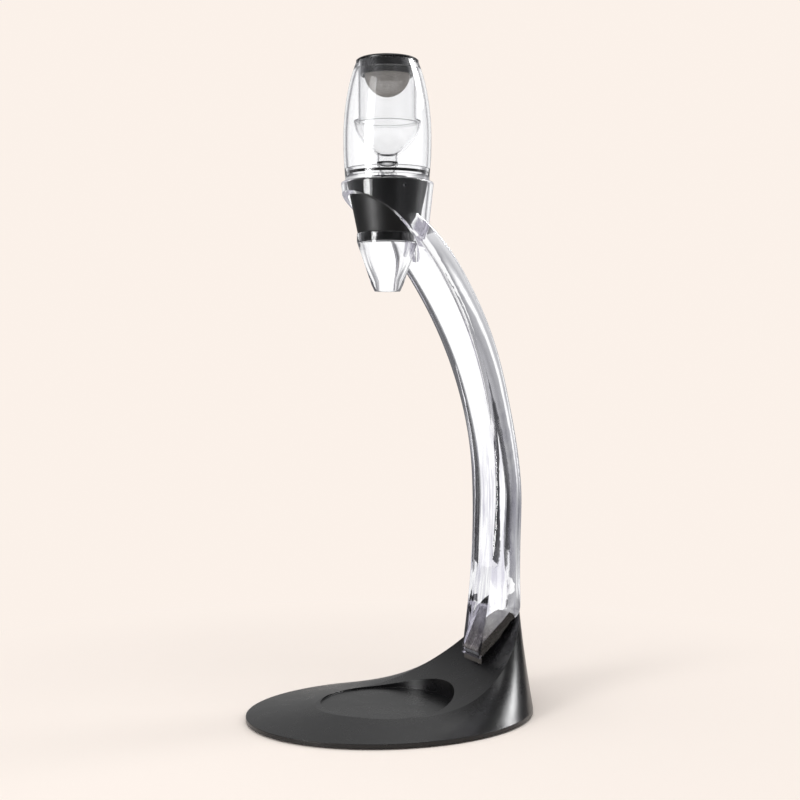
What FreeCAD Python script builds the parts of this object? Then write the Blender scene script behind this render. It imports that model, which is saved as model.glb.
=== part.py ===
"""Wine aerator tower: an aerator hung in the collar of an arched clear arm on a swept oval base.

Millimetres. +Z is up, +Y points from the glass towards the arm, and X runs across.
The origin lies on the table, under the middle of the base's outline.
"""
import FreeCAD, Part
import math
import os

V = FreeCAD.Vector

# Base, outside
BASE_LENGTH = 180.0
BASE_WIDTH = 153.0
FOOT_STANDOFF = 1.0
RIM_HEIGHT = 2.4
SEAT_HEIGHT = 8.2
CREASE_LENGTH = 134.0
CREASE_WIDTH = 88.0
CREASE_CENTRE_Y = 19.0
RAMP_START_Y = 0.0
RAMP_RADIUS = 92.0

# Base, inside
SHELL_WALL = 2.6
RIM_LAND = 6.0
SEAT_WALL = 2.0
COVER_THICKNESS = 1.6
COVER_GAP = 0.3
BALLAST_LENGTH = 112.0
BALLAST_WIDTH = 80.0
BALLAST_CENTRE_Y = 8.0
SCREW_OVAL_LENGTH = 142.0
SCREW_OVAL_WIDTH = 112.0
COVER_SCREW_COUNT = 6
COVER_SCREW_RADIUS = 1.5
COVER_SCREW_HEAD_RADIUS = 2.8
COVER_SCREW_LENGTH = 4.0
BOSS_RADIUS = 4.0
BALLAST_SCREW_RADIUS = 1.5
BALLAST_SCREW_HEAD_RADIUS = 2.7
BALLAST_SCREW_SPREAD = 40.0
BALLAST_SCREW_Y = 44.0
BALLAST_SCREW_LENGTH = 8.0
RUBBER_FOOT_RADIUS = 6.0
RUBBER_FOOT_SINK = 0.6
RUBBER_FOOT_ROUNDING = 0.5
RUBBER_FOOT_OVAL_LENGTH = 132.0
RUBBER_FOOT_OVAL_WIDTH = 116.0

# Glass recess
GLASS_SEAT_RADIUS = 41.0
GLASS_SEAT_DEPTH = 1.0

# Aerator axis and collar
AXIS_Y = -2.5
COLLAR_TOP_Z = 326.0
COLLAR_OUTER_RADIUS = 28.4
COLLAR_WALL = 3.4
COLLAR_TAPER = 0.11
COLLAR_EDGE_ROUNDING = 1.2
COLLAR_SWEEP_LAP = 0.4
COLLAR_DEPTH = 62.0
BORE_GAP = 0.4

# Arm: its inner face is three arcs in the plane X = 0, shank, arch and crook
ARM_WAIST_Y = 64.5
ARM_WAIST_DROP = 193.0
ARM_ARCH_RADIUS = 245.0
ARM_CROOK_RADIUS = 130.0
ARM_CROOK_ANGLE = 38.0
ARM_END_ANGLE = 49.0
ARM_WAIST_THICKNESS = 18.4
ARM_KNEE_ANGLE = 12.7
ARM_ARCH_THICKNESS = 15.2
ARM_END_THICKNESS = 9.5
ARM_WAIST_HALF_WIDTH = 17.4
ARM_FLARE_ANGLE = 40.0
ARM_END_HALF_WIDTH = 25.4
ARM_EDGE_ROUNDING = 2.6
ARM_SIDE_CROWN = 0.35
ARM_BACK_CROWN = 1.7
ARM_FOOT_CROWN = 0.3
ARM_FOOT_Y = 54.9
ARM_FOOT_LIFT = 5.1
ARM_FOOT_TANGENT = 11.3
ARM_FOOT_LENGTH = 38.0
ARM_FOOT_HALF_WIDTH = 15.5
ARM_FACET_WIDTH = 3.5
ARM_FACET_LENGTH = 19.0

# Arm fixing
GASKET_THICKNESS = 1.0
GASKET_INSET = 1.5
PEDESTAL_INSET = 0.4
ARM_SCREW_SPREAD = 10.4
ARM_SCREW_RADIUS = 2.0
ARM_SCREW_CLEARANCE = 0.3
ARM_SCREW_HEAD_RADIUS = 3.5
ARM_SCREW_HEAD_HEIGHT = 4.0
ARM_SCREW_OFFSET = 19.5
ARM_BOSS_MARGIN = 1.0
ARM_BOSS_DROP = 0.6
ARM_SCREW_ENGAGEMENT = 3.0
WASHER_RADIUS = 4.4
WASHER_THICKNESS = 0.8
ANCHOR_INSET = 3.0
ANCHOR_HALF_WIDTH = 9.0
ANCHOR_THICKNESS = 3.6
DOWEL_RADIUS = 2.0
DOWEL_OFFSET = 9.0
DOWEL_REACH = 3.0

# Aerator: bulb
SHOULDER_GAP = 0.05
SHOULDER_THICKNESS = 2.85
SHELL_BASE_RADIUS = 25.7
SHELL_BELLY_RADIUS = 26.9
SHELL_BELLY_RISE = 23.0
SHELL_TOP_RADIUS = 19.0
SHELL_HEIGHT = 70.0
BULB_WALL = 2.2
SPIGOT_HEIGHT = 5.0
SPIGOT_WALL = 1.8
FIT_GAP = 0.05

# Aerator: inner chamber
TUBE_OUTER_RADIUS = 18.0
CHAMBER_WALL = 1.2
TUBE_SOCKET_HEIGHT = 5.0
BOWL_RIM_DROP = 36.0
BOWL_RIM_RADIUS = 20.5
BOWL_DEPTH = 20.4
NECK_RADIUS = 6.4
NECK_HEIGHT = 4.4

# Aerator: throat, deck and lower body
DECK_THICKNESS = 2.0
THROAT_BORE_RADIUS = 2.6
THROAT_WALL = 1.4
THROAT_DROP = 26.0
THROAT_FLANGE_RADIUS = 8.0
THROAT_FLANGE_THICKNESS = 1.2
NECK_SEAL_THICKNESS = 0.8
GRIP_BOTTOM_RADIUS = 18.1
GRIP_HEIGHT = 31.4
GRIP_WALL = 1.5
GRIP_EDGE_ROUNDING = 0.8
LOWER_WALL = 1.8
AIR_TUBE_DROP = 5.0
AIR_TUBE_RADIUS = 1.6
AIR_BORE_RADIUS = 0.9
SEAL_HEIGHT = 1.6
SEAL_DEPTH = 1.0

# Aerator: nozzle
NOZZLE_TOP_RADIUS = 18.6
NOZZLE_BAND_HEIGHT = 5.0
NOZZLE_CONE_HEIGHT = 26.2
NOZZLE_CONE_RADIUS = 9.7
NOZZLE_TIP_HEIGHT = 4.0
NOZZLE_TIP_RADIUS = 7.8
NOZZLE_WALL = 2.2
OUTLET_RADIUS = 5.6
OUTLET_THROAT_RADIUS = 6.0
OUTLET_LENGTH = 6.6
RING_THICKNESS = 0.8

# Strainer
RIM_GAP = 0.05
RIM_LIP_RADIUS = 19.05
RIM_LIP_THICKNESS = 0.8
RIM_CREST_RADIUS = 13.0
RIM_CREST_HEIGHT = 2.5
RIM_SHOULDER_RADIUS = 17.9
RIM_SHOULDER_DROP = 0.8
RIM_MOUTH_RADIUS = 9.4
RIM_MOUTH_DEPTH = 2.0
SKIRT_DEPTH = 8.6
SKIRT_GAP = 0.3
SKIRT_WALL = 1.4
MESH_THICKNESS = 0.5
MESH_RADIUS = 14.3
MESH_SEAT_DROP = 1.4
MESH_BAND = 4.5
MESH_DEPTH = 20.0
MESH_RING_HEIGHT = 2.2

QUARTERS = 4
POINTS_PER_QUARTER = 8
FAR = 400.0

# Heights and radii that follow from the sizes above
COVER_BOTTOM = FOOT_STANDOFF
COVER_TOP = COVER_BOTTOM + COVER_THICKNESS
RIM_TOP = FOOT_STANDOFF + RIM_HEIGHT
SEAT_FLOOR = SEAT_HEIGHT - GLASS_SEAT_DEPTH
BALLAST_TOP = SEAT_FLOOR - SEAT_WALL
FOOT_SLOPE = math.asin((ARM_FOOT_Y + ARM_FOOT_TANGENT - RAMP_START_Y) / RAMP_RADIUS)
RAMP_AT_FOOT = math.sqrt(RAMP_RADIUS ** 2 - (ARM_FOOT_Y - RAMP_START_Y) ** 2)
ARM_FOOT_Z = SEAT_HEIGHT + RAMP_RADIUS - RAMP_AT_FOOT + ARM_FOOT_LIFT
PEDESTAL_HALF_WIDTH = ARM_FOOT_HALF_WIDTH - ARM_FACET_WIDTH - PEDESTAL_INSET
ARM_WAIST_Z = COLLAR_TOP_Z - ARM_WAIST_DROP
FOOT_SPAN = ARM_WAIST_Z - ARM_FOOT_Z
FOOT_LEAN = ARM_WAIST_Y - ARM_FOOT_Y
ARM_SHANK_RADIUS = (FOOT_SPAN ** 2 + FOOT_LEAN ** 2) / (2 * FOOT_LEAN)
ARCH_CENTRE_Y = ARM_WAIST_Y - ARM_ARCH_RADIUS
CROOK_SHIFT = ARM_ARCH_RADIUS - ARM_CROOK_RADIUS
CROOK_CENTRE_Y = ARCH_CENTRE_Y + CROOK_SHIFT * math.cos(math.radians(ARM_CROOK_ANGLE))
CROOK_CENTRE_Z = ARM_WAIST_Z + CROOK_SHIFT * math.sin(math.radians(ARM_CROOK_ANGLE))
COLLAR_BORE_RADIUS = COLLAR_OUTER_RADIUS - COLLAR_WALL
SHOULDER_BOTTOM = COLLAR_TOP_Z + SHOULDER_GAP
SHOULDER_TOP = SHOULDER_BOTTOM + SHOULDER_THICKNESS
SHELL_TOP = SHOULDER_TOP + SHELL_HEIGHT
BELLY_Z = SHOULDER_TOP + SHELL_BELLY_RISE
SHELL_BORE_RADIUS = SHELL_BASE_RADIUS - BULB_WALL
SPIGOT_RADIUS = SHELL_BORE_RADIUS - FIT_GAP
GRIP_TOP_RADIUS = COLLAR_BORE_RADIUS - BORE_GAP
GRIP_TOP = SHOULDER_BOTTOM
GRIP_BOTTOM = GRIP_TOP - GRIP_HEIGHT
CONE_TOP_RADIUS = GRIP_TOP_RADIUS - GRIP_WALL
CONE_BOTTOM_RADIUS = GRIP_BOTTOM_RADIUS - GRIP_WALL
NOZZLE_TOP = GRIP_BOTTOM
NOZZLE_BAND_BOTTOM = NOZZLE_TOP - NOZZLE_BAND_HEIGHT
NOZZLE_CONE_BOTTOM = NOZZLE_BAND_BOTTOM - NOZZLE_CONE_HEIGHT
NOZZLE_TIP = NOZZLE_CONE_BOTTOM - NOZZLE_TIP_HEIGHT
NOZZLE_SOCKET_RADIUS = NOZZLE_TOP_RADIUS - NOZZLE_WALL
LOWER_SPIGOT_RADIUS = NOZZLE_SOCKET_RADIUS - RING_THICKNESS
TUBE_BORE_RADIUS = TUBE_OUTER_RADIUS - CHAMBER_WALL
BOWL_RIM_Z = SHELL_TOP - BOWL_RIM_DROP
BOWL_FOOT_Z = BOWL_RIM_Z - BOWL_DEPTH
NECK_BOTTOM = BOWL_FOOT_Z - NECK_HEIGHT
NECK_BORE_RADIUS = NECK_RADIUS - CHAMBER_WALL
THROAT_TOP = NECK_BOTTOM - NECK_SEAL_THICKNESS
DECK_TOP = SHOULDER_TOP
DECK_BOTTOM = DECK_TOP - DECK_THICKNESS
THROAT_RADIUS = THROAT_BORE_RADIUS + THROAT_WALL
THROAT_BOTTOM = DECK_BOTTOM - THROAT_DROP
AIR_TUBE_Z = DECK_BOTTOM - AIR_TUBE_DROP
LIP_BOTTOM = SHELL_TOP + RIM_GAP
LIP_TOP = LIP_BOTTOM + RIM_LIP_THICKNESS
CREST_Z = LIP_BOTTOM + RIM_CREST_HEIGHT
SKIRT_BOTTOM = LIP_BOTTOM - SKIRT_DEPTH
SKIRT_RADIUS = TUBE_BORE_RADIUS - SKIRT_GAP
SKIRT_BORE_RADIUS = SKIRT_RADIUS - SKIRT_WALL
MESH_TOP = LIP_BOTTOM - MESH_SEAT_DROP


def keep(name, shape):
    """Writes one named piece."""
    shape.exportStep("parts/" + name + ".step")


def solids(shapes):
    """One group of separate solids."""
    return Part.makeCompound([solid for shape in shapes for solid in shape.Solids])


def cylinder(radius, low, high, x=0.0, y=0.0):
    return Part.makeCylinder(radius, high - low, V(x, y, low))


def edge(points, plane):
    """A line through two points, an arc through three, a smooth curve through more."""
    placed = [plane(*point) for point in points]
    if len(placed) == 2:
        return Part.makeLine(placed[0], placed[1])
    if len(placed) == 3:
        return Part.Arc(placed[0], placed[1], placed[2]).toShape()
    curve = Part.BSplineCurve()
    curve.interpolate(placed)
    return curve.toShape()


def face(runs, plane):
    """A flat face whose outline is made of runs of points, closed by a line."""
    edges = [edge(run, plane) for run in runs]
    first, last = plane(*runs[0][0]), plane(*runs[-1][-1])
    if first.distanceToPoint(last) > 1e-6:
        edges.append(Part.makeLine(last, first))
    return Part.Face(Part.Wire(edges))


def corners(*points):
    """Straight runs from point to point."""
    return [[points[i], points[i + 1]] for i in range(len(points) - 1)]


def on_axis(radius, height):
    return V(radius, AXIS_Y, height)


def lathe(*runs):
    """A solid turned about the aerator's axis, from runs of (radius, height)."""
    joined = []
    for run in runs:
        joined += run if isinstance(run[0], list) else [run]
    return face(joined, on_axis).revolve(V(0, AXIS_Y, 0), V(0, 0, 1), 360)


def ring(inner, outer, low, high):
    return lathe(corners((inner, low), (outer, low), (outer, high), (inner, high), (inner, low)))


def side_plane(y, z):
    return V(-FAR / 2, y, z)


def side_prism(runs):
    """A solid with a constant outline seen along X, as wide as the whole part."""
    return face(runs, side_plane).extrude(V(FAR, 0, 0))


def oval(half_width, half_length, centre_y, angle):
    return half_width * math.cos(angle), centre_y + half_length * math.sin(angle)


def quarter_edges(point_at):
    """A closed curve of four smooth quarters through point_at(angle)."""
    step = math.pi / 2 / POINTS_PER_QUARTER
    edges = []
    for quarter in range(QUARTERS):
        start = quarter * math.pi / 2
        points = [point_at(start + i * step) for i in range(POINTS_PER_QUARTER + 1)]
        curve = Part.BSplineCurve()
        curve.interpolate(points)
        edges.append(curve.toShape())
    return edges


def skinned(levels):
    """A solid whose side is ruled from one closed curve to the next, flat at both ends."""
    return Part.makeLoft([Part.Wire(quarter_edges(level)) for level in levels], True, True)


def ramp_z(y, drop=0.0):
    """Height of the swept top surface, or of the surface that lies drop below it."""
    if y <= RAMP_START_Y:
        return SEAT_HEIGHT - drop
    radius = RAMP_RADIUS + drop
    reach = min(y - RAMP_START_Y, 0.97 * radius)
    return SEAT_HEIGHT + RAMP_RADIUS - math.sqrt(radius ** 2 - reach ** 2)


def above_ramp(drop=0.0):
    """Everything over the swept surface."""
    radius = RAMP_RADIUS + drop
    low = SEAT_HEIGHT - drop
    last = math.radians(70.0)
    centre_z = SEAT_HEIGHT + RAMP_RADIUS

    def on_arc(angle):
        return RAMP_START_Y + radius * math.sin(angle), centre_z - radius * math.cos(angle)

    end = on_arc(last)
    return side_prism([
        [(-FAR / 2, low), (RAMP_START_Y, low)],
        [(RAMP_START_Y, low), on_arc(last / 2), end],
        [end, (end[0] + FAR / 8, FAR)],
        [(end[0] + FAR / 8, FAR), (-FAR / 2, FAR)],
    ])


def base_block(rim_inset, crease_inset, low, rim_top, drop):
    """The swept oval body: straight rim, ruled skirt up to the crease, and the ramp on top."""
    half_width, half_length = BASE_WIDTH / 2 - rim_inset, BASE_LENGTH / 2 - rim_inset

    def rim_at(height):
        def point(angle):
            x, y = oval(half_width, half_length, 0.0, angle)
            return V(x, y, height)
        return point

    def beyond_crease(angle):
        foot = rim_at(rim_top)(angle)
        x, y = oval(CREASE_WIDTH / 2 - crease_inset, CREASE_LENGTH / 2 - crease_inset,
                    CREASE_CENTRE_Y, angle)
        crease = V(x, y, ramp_z(y, drop))
        return crease + (crease - foot) * 0.25

    def far_above(angle):
        x, y = oval(CREASE_WIDTH / 4, CREASE_LENGTH / 4, CREASE_CENTRE_Y, angle)
        return V(x, y, 2 * RAMP_RADIUS)

    block = skinned([rim_at(low), rim_at(rim_top), beyond_crease, far_above])
    return block.cut(above_ramp(drop))


def flat_oval(length, width, centre_y, low, thickness):
    def point(angle):
        x, y = oval(width / 2, length / 2, centre_y, angle)
        return V(x, y, low)
    return Part.Face(Part.Wire(quarter_edges(point))).extrude(V(0, 0, thickness))


def foot_point(along, above=0.0):
    """A point in X = 0, measured up the sloping foot of the arm and square off it."""
    y = ARM_FOOT_Y + along * math.cos(FOOT_SLOPE) - above * math.sin(FOOT_SLOPE)
    return y, ARM_FOOT_Z + along * math.sin(FOOT_SLOPE) + above * math.cos(FOOT_SLOPE)


def cover_screw_places():
    """Round the ballast, on an oval."""
    for i in range(COVER_SCREW_COUNT):
        angle = i * 2 * math.pi / COVER_SCREW_COUNT
        yield oval(SCREW_OVAL_WIDTH / 2, SCREW_OVAL_LENGTH / 2, 0.0, angle)


def ballast_screw_places():
    return [(side * BALLAST_SCREW_SPREAD / 2, BALLAST_SCREW_Y) for side in (-1, 1)]


def rubber_foot_places():
    for i in range(4):
        angle = math.radians(45.0 + i * 90.0)
        yield oval(RUBBER_FOOT_OVAL_WIDTH / 2, RUBBER_FOOT_OVAL_LENGTH / 2, 0.0, angle)


def arm_screw_places():
    y = foot_point(ARM_SCREW_OFFSET)[0]
    return [(side * ARM_SCREW_SPREAD / 2, y) for side in (-1, 1)]


def arm_screw_face():
    """Height of the bosses' lower ends, where the arm screws' washers bear."""
    low_side = foot_point(ARM_SCREW_OFFSET)[0] - WASHER_RADIUS - ARM_BOSS_MARGIN
    return ramp_z(low_side, SHELL_WALL) - ARM_BOSS_DROP


def hexagon(across, low, depth, x, y):
    """A six-sided drive socket, open downwards."""
    radius = across / math.sqrt(3.0)
    points = [V(x + radius * math.cos(i * math.pi / 3), y + radius * math.sin(i * math.pi / 3), low)
              for i in range(7)]
    return Part.Face(Part.makePolygon(points)).extrude(V(0, 0, depth))


def countersunk(x, y, low, radius, head_radius, length, socket=True):
    """A screw with its flat head down, or the hole that takes it."""
    head = head_radius - radius
    screw = Part.makeCone(head_radius, radius, head, V(x, y, low))
    screw = screw.fuse(cylinder(radius, low + head, low + length, x, y))
    return screw.cut(hexagon(radius * 1.2, low, head, x, y)) if socket else screw


def cover_screw(x, y, socket=True):
    return countersunk(x, y, COVER_BOTTOM, COVER_SCREW_RADIUS, COVER_SCREW_HEAD_RADIUS,
                       COVER_SCREW_LENGTH, socket)


def ballast_screw(x, y, socket=True):
    return countersunk(x, y, COVER_TOP, BALLAST_SCREW_RADIUS, BALLAST_SCREW_HEAD_RADIUS,
                       BALLAST_SCREW_LENGTH, socket)


def rubber_foot(x, y, rounding=RUBBER_FOOT_ROUNDING):
    foot = cylinder(RUBBER_FOOT_RADIUS, 0.0, COVER_BOTTOM + RUBBER_FOOT_SINK, x, y)
    bottom = [rim for rim in foot.Edges if rim.BoundBox.ZMax < COVER_BOTTOM / 2]
    return foot.makeFillet(rounding, bottom) if rounding else foot


def foot_strip(low, high, inset, half_width):
    """A strip along the sloping foot between two heights square off it."""
    start, end = inset, ARM_FOOT_LENGTH - inset
    strip = side_prism(corners(foot_point(start, low), foot_point(end, low),
                               foot_point(end, high), foot_point(start, high),
                               foot_point(start, low)))
    return strip.common(Part.makeBox(2 * half_width, FAR, FAR, V(-half_width, 0, 0)))


def pedestal():
    """The raised block on the ramp that carries the arm's foot."""
    half_width = PEDESTAL_HALF_WIDTH
    start = foot_point(GASKET_INSET, -GASKET_THICKNESS)
    end = foot_point(ARM_FOOT_LENGTH - GASKET_INSET, -GASKET_THICKNESS)
    low = ramp_z(start[0]) - SHELL_WALL
    block = side_prism(corners(start, end, (end[0], low), (start[0], low), start))
    return block.common(Part.makeBox(2 * half_width, FAR, FAR, V(-half_width, 0, 0)))


def dowel():
    y, z = foot_point(DOWEL_OFFSET)
    return cylinder(DOWEL_RADIUS, z - DOWEL_REACH, z + DOWEL_REACH, 0, y)


def base_shell():
    body = base_block(0.0, 0.0, COVER_BOTTOM, RIM_TOP, 0.0).fuse(pedestal())
    hollow = base_block(RIM_LAND, SHELL_WALL, COVER_BOTTOM, COVER_TOP, SHELL_WALL)
    hollow = hollow.cut(cylinder(GLASS_SEAT_RADIUS + SEAT_WALL, BALLAST_TOP, FAR, 0, AXIS_Y))
    for x, y in cover_screw_places():
        hollow = hollow.cut(cylinder(BOSS_RADIUS, COVER_TOP, FAR, x, y))
    for x, y in ballast_screw_places():
        hollow = hollow.cut(cylinder(BOSS_RADIUS, BALLAST_TOP, FAR, x, y))
    for x, y in arm_screw_places():
        hollow = hollow.cut(cylinder(WASHER_RADIUS + ARM_BOSS_MARGIN, arm_screw_face(), FAR, x, y))
    body = body.cut(hollow)
    body = body.cut(cylinder(GLASS_SEAT_RADIUS, SEAT_FLOOR, FAR, 0, AXIS_Y))
    for x, y in cover_screw_places():
        body = body.cut(cover_screw(x, y, False))
    for x, y in ballast_screw_places():
        body = body.cut(ballast_screw(x, y, False))
    for x, y in arm_screw_places():
        hole = ARM_SCREW_RADIUS + ARM_SCREW_CLEARANCE
        body = body.cut(cylinder(hole, arm_screw_face() - 1.0, FAR / 4, x, y))
    return body.cut(dowel())


def bottom_cover():
    gap = 2 * (RIM_LAND + COVER_GAP)
    plate = flat_oval(BASE_LENGTH - gap, BASE_WIDTH - gap, 0.0, COVER_BOTTOM, COVER_THICKNESS)
    for x, y in cover_screw_places():
        plate = plate.cut(cover_screw(x, y, False))
    for x, y in rubber_foot_places():
        plate = plate.cut(rubber_foot(x, y, 0.0))
    return plate


def ballast():
    plate = flat_oval(BALLAST_LENGTH, BALLAST_WIDTH, BALLAST_CENTRE_Y, COVER_TOP,
                      BALLAST_TOP - COVER_TOP)
    for x, y in ballast_screw_places():
        plate = plate.cut(ballast_screw(x, y, False))
    return plate


def arm_gasket():
    pad = foot_strip(-GASKET_THICKNESS, 0.0, GASKET_INSET, PEDESTAL_HALF_WIDTH).cut(dowel())
    for x, y in arm_screw_places():
        pad = pad.cut(cylinder(ARM_SCREW_RADIUS + ARM_SCREW_CLEARANCE, 0, FAR / 4, x, y))
    return pad


def arm_screw_shank(x, y):
    end = foot_point(ARM_SCREW_OFFSET)[1] + ARM_SCREW_ENGAGEMENT
    return cylinder(ARM_SCREW_RADIUS, arm_screw_face() - WASHER_THICKNESS, end, x, y)


def arm_screw(x, y):
    seat = arm_screw_face() - WASHER_THICKNESS
    low = seat - ARM_SCREW_HEAD_HEIGHT
    screw = cylinder(ARM_SCREW_HEAD_RADIUS, low, seat, x, y).fuse(arm_screw_shank(x, y))
    socket = hexagon(ARM_SCREW_HEAD_RADIUS * 0.85, low, ARM_SCREW_HEAD_HEIGHT / 2, x, y)
    return screw.cut(socket)


def arm_washer(x, y):
    seat = arm_screw_face()
    washer = cylinder(WASHER_RADIUS, seat - WASHER_THICKNESS, seat, x, y)
    hole = cylinder(ARM_SCREW_RADIUS + FIT_GAP, seat - WASHER_THICKNESS, seat, x, y)
    return washer.cut(hole)


def anchor_block():
    return foot_strip(0.0, ANCHOR_THICKNESS, ANCHOR_INSET, ANCHOR_HALF_WIDTH)


def arm_anchor():
    """The dark plate let into the arm's foot, which takes the screws and the dowel."""
    plate = anchor_block().cut(dowel())
    for x, y in arm_screw_places():
        plate = plate.cut(arm_screw_shank(x, y))
    return plate


def eased(share):
    """A share from 0 to 1 that starts and ends gently."""
    share = min(max(share, 0.0), 1.0)
    return share * share * (3 - 2 * share)


def arm_section(y, z, tilt, half_width, thickness, facet_width, facet_length, bulge, crown):
    """A closed section of the arm: facets at its inner corners, sides and back crowned."""
    def place(x, s):
        return V(x, y + s * math.cos(tilt), z + s * math.sin(tilt))

    def corner(start, end, outwards, amount):
        chord = math.hypot(end[0] - start[0], end[1] - start[1])
        middle = [(a + b) / 2 + side * amount * chord / math.sqrt(2)
                  for a, b, side in zip(start, end, outwards)]
        return Part.Arc(place(*start), place(*middle), place(*end)).toShape()

    def crowned(start, end, outwards, rise):
        middle = [(a + b) / 2 + side * rise for a, b, side in zip(start, end, outwards)]
        return Part.Arc(place(*start), place(*middle), place(*end)).toShape()

    front = half_width - facet_width
    back = half_width - ARM_EDGE_ROUNDING
    deep = thickness - ARM_EDGE_ROUNDING
    round_bulge = (math.sqrt(2) - 1) / 2
    edges = [Part.makeLine(place(-front, 0), place(front, 0)),
             corner((front, 0), (half_width, facet_length), (1, -1), bulge),
             crowned((half_width, facet_length), (half_width, deep), (1, 0), ARM_SIDE_CROWN),
             corner((half_width, deep), (back, thickness), (1, 1), round_bulge),
             crowned((back, thickness), (-back, thickness), (0, 1), crown),
             corner((-back, thickness), (-half_width, deep), (-1, 1), round_bulge),
             crowned((-half_width, deep), (-half_width, facet_length), (-1, 0), ARM_SIDE_CROWN),
             corner((-half_width, facet_length), (-front, 0), (-1, -1), bulge)]
    return Part.Wire(edges)


def shank_section(z):
    """Below the waist the arm thickens and tips over towards its sloping foot."""
    low = (ARM_WAIST_Z - z) / FOOT_SPAN
    y = ARM_WAIST_Y - ARM_SHANK_RADIUS + math.sqrt(ARM_SHANK_RADIUS ** 2 - (ARM_WAIST_Z - z) ** 2)
    return arm_section(
        y, z, FOOT_SLOPE * low ** 2.2,
        ARM_WAIST_HALF_WIDTH + (ARM_FOOT_HALF_WIDTH - ARM_WAIST_HALF_WIDTH) * low ** 1.5,
        ARM_WAIST_THICKNESS + (ARM_FOOT_LENGTH - ARM_WAIST_THICKNESS) * low ** 3.2,
        ARM_EDGE_ROUNDING + (ARM_FACET_WIDTH - ARM_EDGE_ROUNDING) * low,
        ARM_EDGE_ROUNDING + (ARM_FACET_LENGTH - ARM_EDGE_ROUNDING) * low ** 1.5,
        0.2 - 0.16 * low,
        ARM_BACK_CROWN + (ARM_FOOT_CROWN - ARM_BACK_CROWN) * low ** 3)


def arch_section(degrees):
    """Above the waist the arm thins and widens, along the arch and then the crook."""
    angle = math.radians(degrees)
    if degrees <= ARM_CROOK_ANGLE:
        radius, centre_y, centre_z = ARM_ARCH_RADIUS, ARCH_CENTRE_Y, ARM_WAIST_Z
    else:
        radius, centre_y, centre_z = ARM_CROOK_RADIUS, CROOK_CENTRE_Y, CROOK_CENTRE_Z
    flare = eased(degrees / ARM_FLARE_ANGLE)
    knee = eased(1 - degrees / ARM_KNEE_ANGLE)
    high = degrees / ARM_END_ANGLE
    return arm_section(
        centre_y + radius * math.cos(angle), centre_z + radius * math.sin(angle), angle,
        ARM_WAIST_HALF_WIDTH + (ARM_END_HALF_WIDTH - ARM_WAIST_HALF_WIDTH) * flare,
        ARM_ARCH_THICKNESS + (ARM_WAIST_THICKNESS - ARM_ARCH_THICKNESS) * knee
        - (ARM_ARCH_THICKNESS - ARM_END_THICKNESS) * high ** 3.5,
        ARM_EDGE_ROUNDING, ARM_EDGE_ROUNDING, 0.2, ARM_BACK_CROWN)


def collar_radius(top_radius, z):
    """The collar narrows a little from its top downwards."""
    return top_radius - COLLAR_TAPER * (COLLAR_TOP_Z - z)


def collar():
    """A ring whose lower edge sweeps down into the arm's inner face."""
    low = COLLAR_TOP_Z - COLLAR_DEPTH
    turn, top = COLLAR_EDGE_ROUNDING, COLLAR_TOP_Z
    outer = collar_radius(COLLAR_OUTER_RADIUS, top - turn)
    band = lathe(corners((0, low), (collar_radius(COLLAR_OUTER_RADIUS, low), low), (outer, top - turn)),
                 [(outer, top - turn), (outer - turn * 0.293, top - turn * 0.293), (outer - turn, top)],
                 corners((outer - turn, top), (0, top), (0, low)))
    sweep = Part.makeCylinder(ARM_CROOK_RADIUS + COLLAR_SWEEP_LAP, FAR,
                              V(-FAR / 2, CROOK_CENTRE_Y, CROOK_CENTRE_Z), V(1, 0, 0))
    return band.cut(sweep)


def collar_bore():
    """The tapered seat that the grip drops into, and the clear way above it."""
    low, top = COLLAR_TOP_Z - COLLAR_DEPTH, COLLAR_TOP_Z
    bore = COLLAR_BORE_RADIUS
    return lathe(corners((0, low), (collar_radius(bore, low), low), (bore, top), (bore, FAR + FAR),
                         (0, FAR + FAR), (0, low)))


def arm():
    stations = [ARM_FOOT_Z + FOOT_SPAN * i / 5 for i in range(6)]
    sections = [shank_section(z) for z in stations]
    sections += [arch_section(ARM_CROOK_ANGLE * i / 6) for i in range(1, 7)]
    sections += [arch_section(ARM_CROOK_ANGLE + (ARM_END_ANGLE - ARM_CROOK_ANGLE) * i / 2)
                 for i in (1, 2)]
    body = Part.makeLoft(sections, True, False).fuse(collar())
    return body.cut(collar_bore()).cut(anchor_block())


def bulb_radius(z):
    """The bulb is two half ellipses that meet at its belly."""
    end = SHELL_TOP_RADIUS if z > BELLY_Z else SHELL_BASE_RADIUS
    rise = SHELL_HEIGHT - SHELL_BELLY_RISE if z > BELLY_Z else SHELL_BELLY_RISE
    reach = rise / math.sqrt(1 - (end / SHELL_BELLY_RADIUS) ** 2)
    return SHELL_BELLY_RADIUS * math.sqrt(1 - ((z - BELLY_Z) / reach) ** 2)


def steps(low, high, count):
    return [low + (high - low) * i / count for i in range(count + 1)]


def outer_shell():
    spigot_top = SHOULDER_TOP + SPIGOT_HEIGHT + 2 * FIT_GAP
    socket_low = SHELL_TOP - TUBE_SOCKET_HEIGHT
    socket = TUBE_OUTER_RADIUS + FIT_GAP
    outside = [(bulb_radius(z), z) for z in steps(SHOULDER_TOP, SHELL_TOP, 10)]
    inside = [(bulb_radius(z) - BULB_WALL, z) for z in steps(socket_low, spigot_top, 9)]
    return lathe(outside,
                 corners(outside[-1], (socket, SHELL_TOP), (socket, socket_low), inside[0]),
                 inside,
                 corners(inside[-1], (SHELL_BORE_RADIUS, spigot_top),
                         (SHELL_BORE_RADIUS, SHOULDER_TOP), outside[0]))


def bowl_radius(height):
    """Outer radius of the chamber's bowl, a rounded cup that runs into its neck."""
    part = height / BOWL_DEPTH
    return NECK_RADIUS + (BOWL_RIM_RADIUS - NECK_RADIUS) * math.sin(part * math.pi / 2) ** 0.8


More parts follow.
